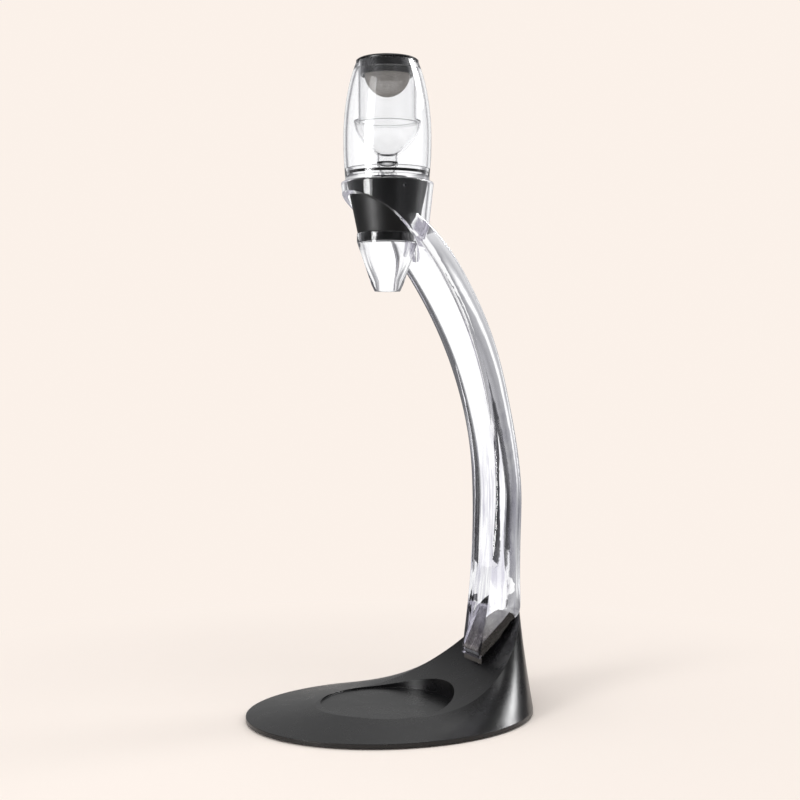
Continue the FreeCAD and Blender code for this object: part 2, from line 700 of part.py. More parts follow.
def inner_chamber():
    outside = [(bowl_radius(h), BOWL_FOOT_Z + h) for h in steps(0, BOWL_DEPTH, 8)]
    outside[0] = (NECK_RADIUS, BOWL_FOOT_Z)
    shelf = BOWL_RIM_Z - CHAMBER_WALL
    inside = [(bowl_radius(h) - CHAMBER_WALL, BOWL_FOOT_Z + h + CHAMBER_WALL * (1 - h / BOWL_DEPTH))
              for h in steps(BOWL_DEPTH - CHAMBER_WALL, 0, 8)]
    return lathe(corners((NECK_BORE_RADIUS, NECK_BOTTOM), (NECK_RADIUS, NECK_BOTTOM), outside[0]),
                 outside,
                 corners(outside[-1], (TUBE_OUTER_RADIUS, BOWL_RIM_Z), (TUBE_OUTER_RADIUS, SHELL_TOP),
                         (TUBE_BORE_RADIUS, SHELL_TOP), (TUBE_BORE_RADIUS, shelf),
                         (inside[0][0], shelf), inside[0]),
                 inside,
                 corners(inside[-1], (NECK_BORE_RADIUS, NECK_BOTTOM)))


def air_way(radius, start, end):
    """Two round ways through the aerator along X, one on each side."""
    ways = [Part.makeCylinder(radius, end - start, V(side * start, AXIS_Y, AIR_TUBE_Z), V(side, 0, 0))
            for side in (-1, 1)]
    return Part.makeCompound(ways)


def cone_radius(z):
    part = (z - GRIP_BOTTOM) / GRIP_HEIGHT
    return CONE_BOTTOM_RADIUS + (CONE_TOP_RADIUS - CONE_BOTTOM_RADIUS) * part


def tube_end():
    """The air tubes stop half way through the lower body's wall."""
    return cone_radius(AIR_TUBE_Z) - LOWER_WALL / 2


def venturi():
    funnel_low = DECK_TOP + THROAT_FLANGE_THICKNESS + THROAT_WALL
    mouth = NECK_RADIUS - CHAMBER_WALL
    body = lathe(
        corners((THROAT_RADIUS, funnel_low), (NECK_RADIUS, THROAT_TOP), (mouth, THROAT_TOP),
                (THROAT_BORE_RADIUS, funnel_low), (THROAT_BORE_RADIUS, AIR_TUBE_Z),
                (THROAT_BORE_RADIUS + THROAT_WALL / 2, THROAT_BOTTOM), (THROAT_RADIUS, THROAT_BOTTOM),
                (THROAT_RADIUS, DECK_TOP), (THROAT_FLANGE_RADIUS, DECK_TOP),
                (THROAT_FLANGE_RADIUS, DECK_TOP + THROAT_FLANGE_THICKNESS),
                (THROAT_RADIUS, DECK_TOP + THROAT_FLANGE_THICKNESS), (THROAT_RADIUS, funnel_low)))
    body = body.cut(air_way(AIR_BORE_RADIUS, 0.0, THROAT_RADIUS + 1.0))
    return body.cut(air_way(AIR_TUBE_RADIUS, THROAT_RADIUS - THROAT_WALL / 2, THROAT_RADIUS + 1.0))


def air_tubes():
    start = THROAT_RADIUS - THROAT_WALL / 2
    return solids([air_way(AIR_TUBE_RADIUS, start, tube_end())
                   .cut(air_way(AIR_BORE_RADIUS, start, tube_end()))])


def lower_body():
    spigot_bore = SPIGOT_RADIUS - SPIGOT_WALL
    spigot_top = SHOULDER_TOP + SPIGOT_HEIGHT
    groove_low = SHOULDER_TOP + SEAL_HEIGHT
    groove_high = groove_low + SEAL_HEIGHT
    groove = SHELL_BORE_RADIUS - SEAL_DEPTH
    wall = LOWER_WALL
    body = lathe(corners(
        (THROAT_RADIUS, DECK_BOTTOM), (CONE_TOP_RADIUS - wall, DECK_BOTTOM),
        (CONE_TOP_RADIUS - wall, GRIP_TOP), (CONE_BOTTOM_RADIUS - wall, GRIP_BOTTOM + wall),
        (LOWER_SPIGOT_RADIUS - wall, GRIP_BOTTOM), (LOWER_SPIGOT_RADIUS - wall, NOZZLE_BAND_BOTTOM),
        (LOWER_SPIGOT_RADIUS, NOZZLE_BAND_BOTTOM), (LOWER_SPIGOT_RADIUS, GRIP_BOTTOM),
        (CONE_BOTTOM_RADIUS, GRIP_BOTTOM), (CONE_TOP_RADIUS, GRIP_TOP),
        (SHELL_BASE_RADIUS, GRIP_TOP), (SHELL_BASE_RADIUS, SHOULDER_TOP),
        (SPIGOT_RADIUS, SHOULDER_TOP), (SPIGOT_RADIUS, groove_low), (groove, groove_low),
        (groove, groove_high), (SPIGOT_RADIUS, groove_high), (SPIGOT_RADIUS, spigot_top),
        (spigot_bore, spigot_top), (spigot_bore, DECK_TOP), (THROAT_RADIUS, DECK_TOP),
        (THROAT_RADIUS, DECK_BOTTOM)))
    body = body.cut(air_way(AIR_TUBE_RADIUS, tube_end() - 2 * LOWER_WALL, tube_end()))
    return body.cut(air_way(AIR_BORE_RADIUS, tube_end() - 1.0, COLLAR_OUTER_RADIUS))


def shell_seal():
    low = SHOULDER_TOP + SEAL_HEIGHT
    return ring(SHELL_BORE_RADIUS - SEAL_DEPTH, SHELL_BORE_RADIUS, low, low + SEAL_HEIGHT)


def grip_sleeve():
    turn = GRIP_EDGE_ROUNDING
    slope = (GRIP_TOP_RADIUS - GRIP_BOTTOM_RADIUS) / GRIP_HEIGHT
    side = GRIP_BOTTOM_RADIUS + slope * turn
    sleeve = lathe(corners((CONE_BOTTOM_RADIUS, GRIP_BOTTOM), (CONE_TOP_RADIUS, GRIP_TOP),
                           (GRIP_TOP_RADIUS, GRIP_TOP), (side, GRIP_BOTTOM + turn)),
                   [(side, GRIP_BOTTOM + turn),
                    (GRIP_BOTTOM_RADIUS - 0.2 * turn, GRIP_BOTTOM + 0.25 * turn),
                    (GRIP_BOTTOM_RADIUS - turn * 0.8, GRIP_BOTTOM)],
                   corners((GRIP_BOTTOM_RADIUS - turn * 0.8, GRIP_BOTTOM),
                           (CONE_BOTTOM_RADIUS, GRIP_BOTTOM)))
    return sleeve.cut(air_way(AIR_BORE_RADIUS, GRIP_BOTTOM_RADIUS, COLLAR_OUTER_RADIUS))


def nozzle():
    turn = NOZZLE_WALL / 4
    shelf = NOZZLE_BAND_BOTTOM - RING_THICKNESS
    outlet = NOZZLE_TIP + OUTLET_LENGTH
    return lathe(corners(
        (NOZZLE_SOCKET_RADIUS, NOZZLE_TOP), (NOZZLE_TOP_RADIUS, NOZZLE_TOP),
        (NOZZLE_TOP_RADIUS, NOZZLE_BAND_BOTTOM), (NOZZLE_CONE_RADIUS, NOZZLE_CONE_BOTTOM),
        (NOZZLE_TIP_RADIUS, NOZZLE_TIP + turn), (NOZZLE_TIP_RADIUS - turn, NOZZLE_TIP),
        (OUTLET_RADIUS, NOZZLE_TIP), (OUTLET_THROAT_RADIUS, outlet),
        (LOWER_SPIGOT_RADIUS - 0.2, shelf), (LOWER_SPIGOT_RADIUS - 0.2, NOZZLE_BAND_BOTTOM),
        (NOZZLE_SOCKET_RADIUS, NOZZLE_BAND_BOTTOM), (NOZZLE_SOCKET_RADIUS, NOZZLE_TOP)))


def strainer_rim():
    under = LIP_BOTTOM + RIM_CREST_HEIGHT - RIM_MOUTH_DEPTH
    shoulder = MESH_RADIUS - MESH_THICKNESS
    crest = (RIM_CREST_RADIUS, CREST_Z)
    return lathe(
        corners((SKIRT_BORE_RADIUS, SKIRT_BOTTOM), (SKIRT_RADIUS, SKIRT_BOTTOM),
                (SKIRT_RADIUS, LIP_BOTTOM), (RIM_LIP_RADIUS, LIP_BOTTOM), (RIM_LIP_RADIUS, LIP_TOP)),
        [(RIM_LIP_RADIUS, LIP_TOP),
         (RIM_SHOULDER_RADIUS, CREST_Z - RIM_SHOULDER_DROP),
         ((RIM_SHOULDER_RADIUS + RIM_CREST_RADIUS) / 2, CREST_Z - RIM_SHOULDER_DROP / 8), crest],
        [crest, (RIM_MOUTH_RADIUS + 0.8, CREST_Z - 0.5), (RIM_MOUTH_RADIUS, CREST_Z - 1.3)],
        corners((RIM_MOUTH_RADIUS, CREST_Z - 1.3), (RIM_MOUTH_RADIUS, under)),
        [(RIM_MOUTH_RADIUS, under), ((RIM_MOUTH_RADIUS + shoulder) / 2 + 0.5, under - 0.8),
         (shoulder, LIP_BOTTOM)],
        corners((shoulder, LIP_BOTTOM), (shoulder, MESH_TOP), (SKIRT_BORE_RADIUS, MESH_TOP),
                (SKIRT_BORE_RADIUS, SKIRT_BOTTOM)))


def mesh_curve(radius, depth):
    """Half of a rounded bowl, from its rim down to the axis."""
    low = MESH_TOP - MESH_BAND
    angles = [math.pi / 2 * i / 7 for i in range(8)]
    points = [(radius * math.cos(a), low - depth * math.sin(a)) for a in angles[:-1]]
    return points + [(0.0, low - depth)]


def strainer_mesh():
    depth = MESH_DEPTH - MESH_BAND
    outside = mesh_curve(MESH_RADIUS, depth)
    inside = mesh_curve(MESH_RADIUS - MESH_THICKNESS, depth - MESH_THICKNESS)[::-1]
    flange = MESH_TOP - MESH_THICKNESS
    return lathe(outside, corners(outside[-1], inside[0]), inside,
                 corners(inside[-1], (inside[-1][0], MESH_TOP), (SKIRT_BORE_RADIUS, MESH_TOP),
                         (SKIRT_BORE_RADIUS, flange), (MESH_RADIUS, flange), outside[0]))


def mesh_ring():
    high = MESH_TOP - MESH_THICKNESS
    return ring(MESH_RADIUS, SKIRT_BORE_RADIUS, high - MESH_RING_HEIGHT, high)


def main():
    os.makedirs("parts", exist_ok=True)
    keep("base_shell", base_shell())
    keep("bottom_cover", bottom_cover())
    keep("ballast", ballast())
    keep("ballast_screws", solids([ballast_screw(x, y) for x, y in ballast_screw_places()]))
    keep("cover_screws", solids([cover_screw(x, y) for x, y in cover_screw_places()]))
    keep("rubber_feet", solids([rubber_foot(x, y) for x, y in rubber_foot_places()]))
    keep("arm", arm())
    keep("arm_gasket", arm_gasket())
    keep("arm_dowel", dowel())
    keep("arm_screws", solids([arm_screw(x, y) for x, y in arm_screw_places()]))
    keep("arm_washers", solids([arm_washer(x, y) for x, y in arm_screw_places()]))
    keep("arm_anchor", arm_anchor())
    keep("outer_shell", outer_shell())
    keep("inner_chamber", inner_chamber())
    keep("neck_seal", ring(NECK_BORE_RADIUS, NECK_RADIUS, THROAT_TOP, NECK_BOTTOM))
    keep("venturi", venturi())
    keep("air_tubes", air_tubes())
    keep("lower_body", lower_body())
    keep("shell_seal", shell_seal())
    keep("grip_sleeve", grip_sleeve())
    keep("nozzle_ring", ring(LOWER_SPIGOT_RADIUS, NOZZLE_SOCKET_RADIUS, NOZZLE_BAND_BOTTOM,
                             GRIP_BOTTOM))
    keep("nozzle", nozzle())
    keep("strainer_rim", strainer_rim())
    keep("strainer_mesh", strainer_mesh())
    keep("mesh_ring", mesh_ring())


main()
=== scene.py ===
"""Wine aerator tower: its finishes, clear mouldings, woven strainer and the table it stands on."""
import math

import bpy
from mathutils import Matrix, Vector


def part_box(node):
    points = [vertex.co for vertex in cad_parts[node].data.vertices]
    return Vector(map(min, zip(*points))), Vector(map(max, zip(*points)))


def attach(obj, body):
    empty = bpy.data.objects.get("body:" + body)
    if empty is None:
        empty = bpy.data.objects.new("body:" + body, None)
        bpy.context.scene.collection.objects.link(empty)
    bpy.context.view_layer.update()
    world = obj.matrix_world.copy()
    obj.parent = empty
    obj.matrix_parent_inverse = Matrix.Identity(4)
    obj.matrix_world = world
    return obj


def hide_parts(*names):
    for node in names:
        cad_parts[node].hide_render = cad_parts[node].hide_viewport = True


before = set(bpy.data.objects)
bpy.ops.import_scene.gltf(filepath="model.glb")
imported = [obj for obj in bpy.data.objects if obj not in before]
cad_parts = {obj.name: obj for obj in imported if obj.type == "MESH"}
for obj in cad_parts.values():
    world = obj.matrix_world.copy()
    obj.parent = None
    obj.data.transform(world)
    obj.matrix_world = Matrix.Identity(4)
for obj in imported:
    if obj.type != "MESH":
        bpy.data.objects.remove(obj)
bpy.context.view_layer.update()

# Sizes are in millimetres; meshes, bevels and bumps are made in metres
MM = 0.001


def span(node):
    """Lowest and highest corner of a moulding, in millimetres."""
    low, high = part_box(node)
    return low / MM, high / MM


SHELL_LOW, SHELL_HIGH = span("outer_shell")
CHAMBER_LOW, CHAMBER_HIGH = span("inner_chamber")
NOZZLE_LOW, NOZZLE_HIGH = span("nozzle")
MESH_LOW, MESH_HIGH = span("strainer_mesh")
LOWER_HIGH = span("lower_body")[1]

# Aerator's axis and heights
AXIS_Y = (SHELL_LOW.y + SHELL_HIGH.y) / 2
SHOULDER_TOP = SHELL_LOW.z
SHELL_TOP = SHELL_HIGH.z
FIT_GAP = 0.05

# Bulb
BELLY_RADIUS = SHELL_HIGH.x
BELLY_RISE = 23.0
SHELL_BASE_RADIUS = LOWER_HIGH.x
SHELL_TOP_RADIUS = 19.0
BULB_WALL = 2.2
SPIGOT_TOP = LOWER_HIGH.z + 2 * FIT_GAP
TUBE_RADIUS = 18.0
TUBE_SOCKET_HEIGHT = 5.0

# Inner chamber
CHAMBER_WALL = 1.2
BOWL_RIM_RADIUS = CHAMBER_HIGH.x
BOWL_RIM_Z = SHELL_TOP - 36.0
BOWL_DEPTH = 20.4
BOWL_FULLNESS = 0.8
NECK_RADIUS = 6.4

# Nozzle
NOZZLE_RADIUS = NOZZLE_HIGH.x
NOZZLE_WALL = 2.2
NOZZLE_BAND = 5.0
NOZZLE_CONE_RADIUS = 9.7
NOZZLE_TIP_HEIGHT = 4.0
NOZZLE_TIP_RADIUS = 7.8
OUTLET_RADIUS = 5.6
OUTLET_THROAT_RADIUS = 6.0
OUTLET_LENGTH = 6.6
SEAL_STEP = 0.8
SEAL_PLAY = 0.2

# Turned pieces
TURNS = 160
EDGE_ROUNDING = 0.25
CORNER_STEPS = 5
SHARP_TURN = math.radians(20)
FOLDED_BACK = 3.0
ROUNDED_PART_OF_SIDE = 0.4


def bulb_radius(z):
    """Outer radius of the bulb: two half ellipses that meet at its belly."""
    belly = SHOULDER_TOP + BELLY_RISE
    end = SHELL_TOP_RADIUS if z > belly else SHELL_BASE_RADIUS
    rise = SHELL_TOP - belly if z > belly else BELLY_RISE
    reach = rise / math.sqrt(1 - (end / BELLY_RADIUS) ** 2)
    return BELLY_RADIUS * math.sqrt(1 - ((z - belly) / reach) ** 2)


def bowl_radius(height):
    """Outer radius of the chamber's bowl, a rounded cup that runs into its neck."""
    part = max(height, 0.0) / BOWL_DEPTH
    return NECK_RADIUS + (BOWL_RIM_RADIUS - NECK_RADIUS) * math.sin(part * math.pi / 2) ** BOWL_FULLNESS


def steps(low, high, count):
    """Even steps from low to high, both ends included."""
    return [low + (high - low) * i / count for i in range(count + 1)]


def eased(outline, rounding):
    """Rounds the corners of a closed outline; gives each point with its outward normal, as (radius, z)."""
    loop = []
    count = len(outline)
    for i, here in enumerate(outline):
        before, after = Vector(outline[i - 1]), Vector(outline[(i + 1) % count])
        here = Vector(here)
        into, out = (here - before), (after - here)
        side_in, side_out = into.length, out.length
        into.normalize()
        out.normalize()
        turn = into.angle_signed(out, 0.0)
        normal_in, normal_out = Vector((into.y, -into.x)), Vector((out.y, -out.x))
        if abs(turn) < SHARP_TURN:
            loop.append((here, (normal_in + normal_out).normalized()))
            continue
        reach = min(rounding * math.tan(abs(turn) / 2), ROUNDED_PART_OF_SIDE * side_in,
                    ROUNDED_PART_OF_SIDE * side_out)
        start, end = here - into * reach, here + out * reach
        for k in range(CORNER_STEPS + 1):
            part = k / CORNER_STEPS
            point = start * (1 - part) ** 2 + here * (2 * part * (1 - part)) + end * part ** 2
            normal = normal_in.slerp(normal_out, part) if abs(turn) < FOLDED_BACK else normal_in
            loop.append((point, normal))
    return loop


def turned(name, outline, rounding=EDGE_ROUNDING):
    """A closed piece turned about the aerator's axis from (radius, height) points, wall side on the left."""
    loop = eased(outline, rounding)
    mesh = bpy.data.meshes.new(name)
    points, normals, faces = [], [], []
    for t in range(TURNS):
        angle = 2 * math.pi * t / TURNS
        cos, sin = math.cos(angle), math.sin(angle)
        for (radius, z), (normal_out, normal_up) in loop:
            points.append(Vector((radius * cos, AXIS_Y + radius * sin, z)) * MM)
            normals.append(Vector((normal_out * cos, normal_out * sin, normal_up)))
    count = len(loop)
    for t in range(TURNS):
        here, there = t * count, ((t + 1) % TURNS) * count
        for i in range(count):
            j = (i + 1) % count
            faces.append((here + i, there + i, there + j, here + j))
    mesh.from_pydata(points, [], faces)
    mesh.shade_smooth()
    mesh.normals_split_custom_set_from_vertices(normals)
    piece = bpy.data.objects.new(name, mesh)
    bpy.context.scene.collection.objects.link(piece)
    return piece


def outer_shell():
    """Bullet-shaped bulb, open at both ends, with a socket for the inner tube at its top."""
    socket_low = SHELL_TOP - TUBE_SOCKET_HEIGHT
    outside = [(bulb_radius(z), z) for z in steps(SHOULDER_TOP, SHELL_TOP, 40)]
    inside = [(bulb_radius(z) - BULB_WALL, z) for z in steps(socket_low, SPIGOT_TOP, 36)]
    socket = TUBE_RADIUS + FIT_GAP
    bore = SHELL_BASE_RADIUS - BULB_WALL
    return turned("bulb", outside + [(socket, SHELL_TOP), (socket, socket_low)] + inside
                  + [(bore, SPIGOT_TOP), (bore, SHOULDER_TOP)])


def inner_chamber():
    """Tube, bowl and neck in one piece inside the bulb."""
    foot = BOWL_RIM_Z - BOWL_DEPTH
    wall = CHAMBER_WALL
    outside = [(bowl_radius(h), foot + h) for h in steps(0, BOWL_DEPTH, 28)]
    inside = [(bowl_radius(h) - wall, foot + h + wall * (1 - h / BOWL_DEPTH))
              for h in steps(BOWL_DEPTH - wall, 0, 26)]
    shelf = BOWL_RIM_Z - wall
    return turned("chamber", [(NECK_RADIUS - wall, CHAMBER_LOW.z), (NECK_RADIUS, CHAMBER_LOW.z)] + outside
                  + [(TUBE_RADIUS, BOWL_RIM_Z), (TUBE_RADIUS, SHELL_TOP), (TUBE_RADIUS - wall, SHELL_TOP),
                     (TUBE_RADIUS - wall, shelf)] + inside)


def nozzle():
    """Tapered spout with a straight band at its top and a step for the sealing ring."""
    socket = NOZZLE_RADIUS - NOZZLE_WALL
    band_low = NOZZLE_HIGH.z - NOZZLE_BAND
    cone_low = NOZZLE_LOW.z + NOZZLE_TIP_HEIGHT
    inner = socket - SEAL_STEP - SEAL_PLAY
    return turned("spout", [
        (socket, NOZZLE_HIGH.z), (socket, band_low), (inner, band_low), (inner, band_low - SEAL_STEP),
        (OUTLET_THROAT_RADIUS, NOZZLE_LOW.z + OUTLET_LENGTH), (OUTLET_RADIUS, NOZZLE_LOW.z),
        (NOZZLE_TIP_RADIUS, NOZZLE_LOW.z), (NOZZLE_CONE_RADIUS, cone_low), (NOZZLE_RADIUS, band_low),
        (NOZZLE_RADIUS, NOZZLE_HIGH.z)])


class Board:
    """One node tree, with short ways to add a node and wire it."""

    def __init__(self, tree, prefix="ShaderNode"):
        self.tree = tree
        self.prefix = prefix

    def add(self, kind, inputs=None, **settings):
        node = self.tree.nodes.new(kind if "Node" in kind else self.prefix + kind)
        for name, value in settings.items():
            setattr(node, name, value)
        for key, value in (inputs or {}).items():
            self.put(node, key, value)
        return node

    def put(self, node, key, value):
        if isinstance(value, bpy.types.NodeSocket):
            self.tree.links.new(value, node.inputs[key])
        else:
            node.inputs[key].default_value = value

    def math(self, operation, *values, clamp=False):
        return self.add("ShaderNodeMath", dict(enumerate(values)), operation=operation,
                        use_clamp=clamp).outputs[0]

    def product(self, first, *others):
        for other in others:
            first = self.math("MULTIPLY", first, other)
        return first

    def ranged(self, value, low, high, to_low=0.0, to_high=1.0):
        return self.add("MapRange", {0: value, 1: low, 2: high, 3: to_low, 4: to_high}).outputs[0]

    def smoothed(self, value, low, high):
        return self.add("MapRange", {0: value, 1: low, 2: high}, interpolation_type="SMOOTHSTEP").outputs[0]

    def noise(self, vector, scale, detail=3.0, roughness=0.55, distortion=0.0):
        return self.add("TexNoise", {"Vector": vector, "Scale": scale, "Detail": detail,
                                     "Roughness": roughness, "Distortion": distortion}).outputs["Fac"]

    def stretched(self, vector, scale):
        return self.add("VectorMath", {0: vector, 1: scale}, operation="MULTIPLY").outputs[0]

    def millimetres(self, vector):
        return self.stretched(vector, (1 / MM, 1 / MM, 1 / MM))

    def blend(self, share, first, second):
        return self.add("Mix", {0: share, 6: first, 7: second}, data_type="RGBA").outputs[2]

    def either(self, share, first, second):
        return self.add("MixShader", {0: share, 1: first, 2: second}).outputs[0]


def effect(name, inputs, outputs):
    """A new shader node group with named sockets; gives its board, its inputs and its output node."""
    tree = bpy.data.node_groups.new(name, "ShaderNodeTree")
    for kinds, way in ((inputs, "INPUT"), (outputs, "OUTPUT")):
        for socket, kind in kinds.items():
            tree.interface.new_socket(name=socket, in_out=way, socket_type="NodeSocket" + kind)
    board = Board(tree)
    return board, board.add("NodeGroupInput").outputs, board.add("NodeGroupOutput")


def moulded_grain():
    """Fine pebbled skin of a black moulding, with faint flow marks and places rubbed a little smoother."""
    board, given, out = effect(
        "moulded_grain",
        {"Vector": "Vector", "Grain": "Float", "Dark": "Color", "Light": "Color", "Smooth": "Float",
         "Rough": "Float"},
        {"Color": "Color", "Roughness": "Float", "Height": "Float"})
    place = board.millimetres(given["Vector"])
    pebble = board.add("TexVoronoi", {"Vector": place, "Scale": given["Grain"], "Smoothness": 0.6},
                       feature="SMOOTH_F1").outputs["Distance"]
    fine = board.noise(place, given["Grain"], detail=4.0, roughness=0.6)
    flow = board.noise(board.stretched(place, (0.05, 0.02, 0.05)), 1.0, roughness=0.5, distortion=0.6)
    rubbed = board.ranged(board.noise(place, 0.07, detail=5.0, roughness=0.62, distortion=0.3), 0.42, 0.68)
    streaks = board.noise(board.stretched(place, (0.5, 6.0, 6.0)), 1.0, detail=2.0)
    shade = board.math("ADD", board.product(fine, 0.5), board.product(flow, 0.6))
    wear = board.product(rubbed, board.ranged(streaks, 0.4, 0.65, 0.5, 1.0))
    smoother = board.product(wear, board.math("SUBTRACT", given["Rough"], given["Smooth"]))
    board.put(out, "Color", board.blend(board.ranged(shade, 0.35, 0.75), given["Dark"], given["Light"]))
    board.put(out, "Roughness", board.math("SUBTRACT", given["Rough"], smoother))
    board.put(out, "Height", board.math("ADD", board.product(pebble, 0.6), board.product(fine, 0.5)))
    return board.tree


# Heights between which the painted shade in the streaks of a clear moulding's lower part fades out
PAINTED_SHADE_FULL, PAINTED_SHADE_GONE = 130.0, 215.0
HAIR_DEPTH = -0.004


def clear_flow():
    """Slow ripples in a clear moulding, its hair scratches and its faint finger marks, and long streaks that
    carry its painted glow and, low down, its painted shade.
    """
    board, given, out = effect(
        "clear_flow", {"Vector": "Vector", "Along": "Vector", "Clean": "Float", "Smeared": "Float"},
        {"Roughness": "Float", "Height": "Float", "Streaks": "Float", "Painted Shade Veil": "Float"})
    place = board.millimetres(given["Vector"])
    ripple = board.noise(board.stretched(place, given["Along"]), 1.0, detail=1.5, roughness=0.4,
                         distortion=0.2)
    scratches = [board.ranged(board.noise(board.stretched(place, way), 1.0, detail=2.0), 0.7, 0.78)
                 for way in ((9.0, 0.6, 0.9), (0.7, 8.0, 1.1))]
    hair = board.math("MAXIMUM", *scratches)
    marks = board.ranged(board.noise(place, 0.09, detail=4.0, roughness=0.65, distortion=0.5), 0.56, 0.74)
    smear = board.product(board.math("ADD", hair, marks, clamp=True),
                          board.math("SUBTRACT", given["Smeared"], given["Clean"]))
    streaks = board.noise(board.stretched(place, (0.4, 0.4, 0.03)), 1.0, detail=2.0, roughness=0.5,
                          distortion=0.3)
    height = board.add("SeparateXYZ", {0: place}).outputs["Z"]
    board.put(out, "Roughness", board.math("ADD", given["Clean"], smear))
    board.put(out, "Height", board.math("ADD", ripple, board.product(hair, HAIR_DEPTH)))
    # Mask of the streaks where the painted glow is given off
    board.put(out, "Streaks", board.ranged(streaks, 0.36, 0.62, 0.1, 1.0))
    # Painted shade mask: streaks that fade out going up the piece
    board.put(out, "Painted Shade Veil", board.product(board.ranged(height, PAINTED_SHADE_FULL, PAINTED_SHADE_GONE, 1.0, 0.0),
                                         board.ranged(streaks, 0.47, 0.6)))
    return board.tree


def worked_steel():
    """Fine drawn lines of metal with duller and brighter places between them."""
    board, given, out = effect(
        "worked_steel",
        {"Vector": "Vector", "Lines": "Vector", "Dark": "Color", "Light": "Color", "Smooth": "Float",
         "Rough": "Float"},
        {"Color": "Color", "Roughness": "Float", "Height": "Float"})
    place = board.millimetres(given["Vector"])
    lines = board.noise(board.stretched(place, given["Lines"]), 1.0, roughness=0.6)
    patch = board.noise(place, 0.8, detail=4.0, roughness=0.6)
    pits = board.ranged(board.noise(place, 6.0, detail=2.0), 0.62, 0.72)
    shade = board.ranged(board.math("ADD", board.product(lines, 0.6), board.product(patch, 0.6)), 0.4, 0.85)
    duller = board.product(shade, board.math("SUBTRACT", given["Rough"], given["Smooth"]))
    board.put(out, "Color", board.blend(shade, given["Dark"], given["Light"]))
    board.put(out, "Roughness", board.math("ADD", given["Smooth"], duller))
    board.put(out, "Height", board.math("SUBTRACT", lines, board.product(pits, 0.7)))
    return board.tree


EFFECTS = {"moulded_grain": moulded_grain(), "clear_flow": clear_flow(), "worked_steel": worked_steel()}

STEEL_EDGE = 0.12
BEVEL_SAMPLES = 4

# Clear mouldings, and the painted glow they give off in their streaks after some mirror turns
CLEAR_IOR = 1.49
CLEAN_ROUGHNESS, SMEARED_ROUGHNESS = 0.0, 0.05
PAINTED_GLOW_TURNS = 3.5
PAINTED_GLOW_COLOUR = (0.9, 0.87, 1.0)


def started(name, kind, inputs):
    """A new material with one effect on its board; gives the board, the shader and the effect's outputs."""
    material = bpy.data.materials.new(name)
    material.use_nodes = True
    board = Board(material.node_tree)
    shader = material.node_tree.nodes["Principled BSDF"]
    group = board.add("Group", node_tree=EFFECTS[kind])
    board.put(group, "Vector", board.add("TexCoord").outputs["Object"])
    for key, value in inputs.items():
        board.put(group, key, value)
    return material, board, shader, group.outputs


def skin(board, shader, made, edge, depth):
    """Puts an effect's colour, roughness and height on an opaque piece, with its edges softened."""
    softened = board.add("Bevel", {"Radius": edge * MM}, samples=BEVEL_SAMPLES)
    bump = board.add("Bump", {"Strength": 1.0, "Distance": depth * MM, "Height": made["Height"],
                              "Normal": softened.outputs[0]})
    board.put(shader, "Base Color", made["Color"])
    board.put(shader, "Roughness", made["Roughness"])
    board.put(shader, "Normal", bump.outputs[0])


def black_moulding(name, dark, light, smooth, rough, grain, depth, edge=0.3, gloss=0.5):
    """Finish of a black plastic or rubber piece."""
    material, board, shader, made = started(name, "moulded_grain", {
        "Grain": grain, "Dark": (*dark, 1), "Light": (*light, 1), "Smooth": smooth, "Rough": rough})
    skin(board, shader, made, edge, depth)
    shader.inputs["Specular IOR Level"].default_value = gloss
    return material


def steel(name, dark, light, smooth, rough, lines, depth, metallic=1.0):
    """Finish of a metal piece."""
    material, board, shader, made = started(name, "worked_steel", {
        "Lines": lines, "Dark": (*dark, 1), "Light": (*light, 1), "Smooth": smooth, "Rough": rough})
    skin(board, shader, made, STEEL_EDGE, depth)
    shader.inputs["Metallic"].default_value = metallic
    return material


def clear_moulding(name, tint, painted_shade_tint, along, ripple, painted_glow_share):
    """Finish of a clear piece: its tint, the darker tint painted as shade in its low streaks, and how much
    painted glow it gives off.
    """
    material, board, shader, made = started(name, "clear_flow", {
        "Along": along, "Clean": CLEAN_ROUGHNESS, "Smeared": SMEARED_ROUGHNESS})
    bump = board.add("Bump", {"Strength": 1.0, "Distance": ripple * MM, "Height": made["Height"]})
    # Painted shade: the streaks low on the piece get a darker tint that stands in for shade
    board.put(shader, "Base Color", board.blend(made["Painted Shade Veil"], (*tint, 1), (*painted_shade_tint, 1)))
    board.put(shader, "Roughness", made["Roughness"])
    board.put(shader, "Normal", bump.outputs[0])
    # Painted glow: after a few mirror turns inside the piece, its streaks give off light as emission, though
    # the piece is no lamp
    painted_glow_on = board.math("GREATER_THAN", board.add("LightPath").outputs["Glossy Depth"], PAINTED_GLOW_TURNS)
    painted_glow = (*[painted_glow_share * part for part in PAINTED_GLOW_COLOUR], 1)
    board.put(shader, "Emission Color", board.blend(board.product(painted_glow_on, made["Streaks"]),
                                                    (0, 0, 0, 1), painted_glow))
    shader.inputs["Emission Strength"].default_value = 1.0
    shader.inputs["IOR"].default_value = CLEAR_IOR
    shader.inputs["Transmission Weight"].default_value = 1.0
    return material


# Woven strainer and its hem
WIRE_PITCH = 0.8
WIRE_RADIUS = 0.15
WIRE_WAVE = 0.12
WIRES_EACH_SIDE = 35
WIRE_SIDES = 4
BOWL_BAND = 4.5
BOWL_CENTRE_REACH = 0.000001
MESH_BOWL_RADIUS = 14.3
HEM_THICKNESS = 0.3
HEM_HEIGHT = 1.2
HEM_ROUNDING = 0.12


